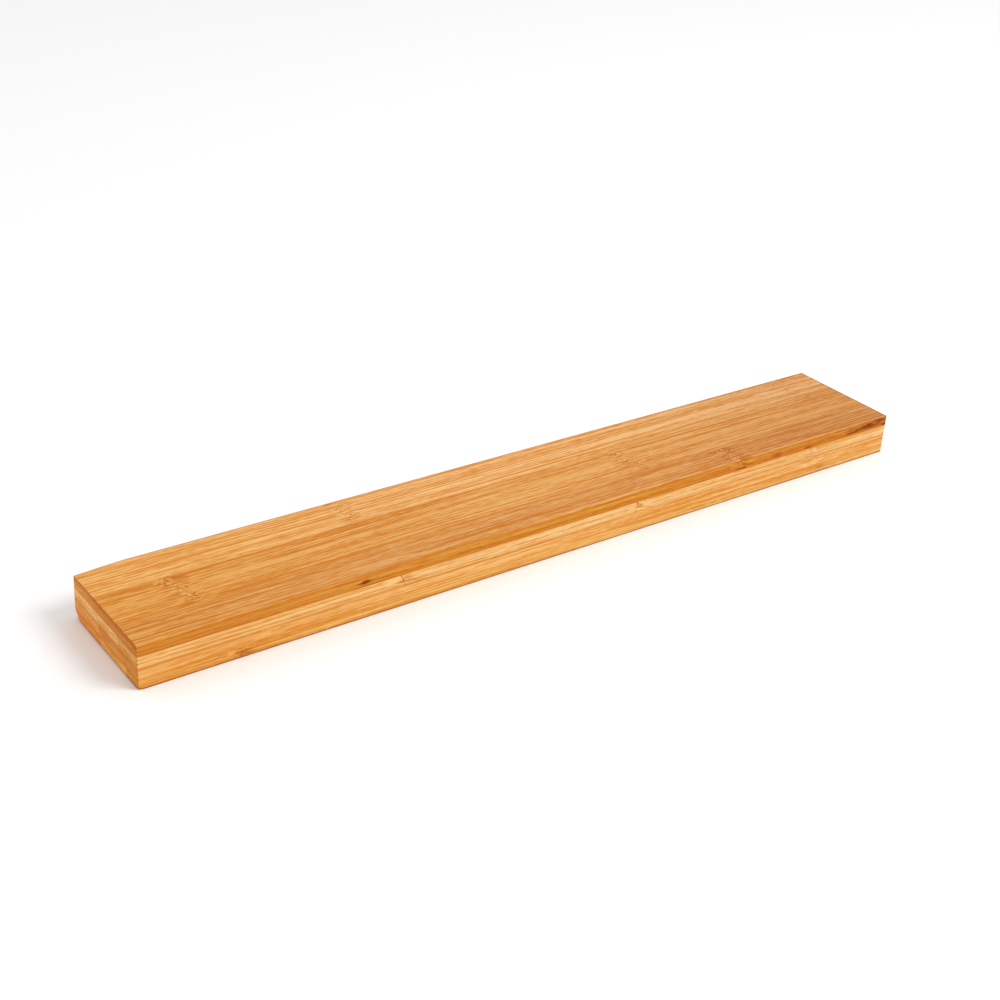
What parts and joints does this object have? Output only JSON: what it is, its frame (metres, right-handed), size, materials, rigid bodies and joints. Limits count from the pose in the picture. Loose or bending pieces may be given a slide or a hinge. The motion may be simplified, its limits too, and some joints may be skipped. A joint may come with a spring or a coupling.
{
  "type": "knife magnetic rack",
  "caption": "Flat laminated bamboo bar with hidden magnets that holds knives by their blades and hangs on a wall from keyhole plates in its back.",
  "frame": {"origin": "centre of the back of the bar, the side that lies against the wall", "axes": "+X along the bar, +Y towards the edge that is uppermost on the wall, +Z out of the knife face. The bar lies on its back."},
  "size_m": [0.4, 0.06, 0.02],
  "materials": {
    "bamboo_face": "satin oiled bamboo, golden orange",
    "bamboo_second": "satin oiled bamboo, palest layer",
    "bamboo_third": "satin oiled bamboo",
    "bamboo_back": "satin oiled bamboo",
    "nickel_plate": "bright nickel plate",
    "strip_steel": "cold rolled, oiled",
    "zinc_plate": "zinc plated, satin",
    "zinc_screw": "zinc plated, bright"
  },
  "bodies": {
    "root": {"back_lath_lower": "bamboo_back", "back_lath_middle": "bamboo_back", "back_lath_upper": "bamboo_back", "third_lath_lower": "bamboo_third", "third_lath_middle": "bamboo_third", "third_lath_upper": "bamboo_third", "second_lath_lower": "bamboo_second", "second_lath_middle": "bamboo_second", "second_lath_upper": "bamboo_second", "face_lath_lower": "bamboo_face", "face_lath_middle": "bamboo_face", "face_lath_upper": "bamboo_face", "magnet_1": "nickel_plate", "magnet_2": "nickel_plate", "magnet_3": "nickel_plate", "magnet_4": "nickel_plate", "magnet_5": "nickel_plate", "magnet_6": "nickel_plate", "magnet_7": "nickel_plate", "magnet_8": "nickel_plate", "magnet_9": "nickel_plate", "magnet_10": "nickel_plate", "magnet_11": "nickel_plate", "magnet_12": "nickel_plate", "keeper_strip": "strip_steel", "hanger_plate_left": "zinc_plate", "hanger_plate_right": "zinc_plate", "plate_screw_left_lower": "zinc_screw", "plate_screw_left_upper": "zinc_screw", "plate_screw_right_lower": "zinc_screw", "plate_screw_right_upper": "zinc_screw"}
  },
  "joints": []
}
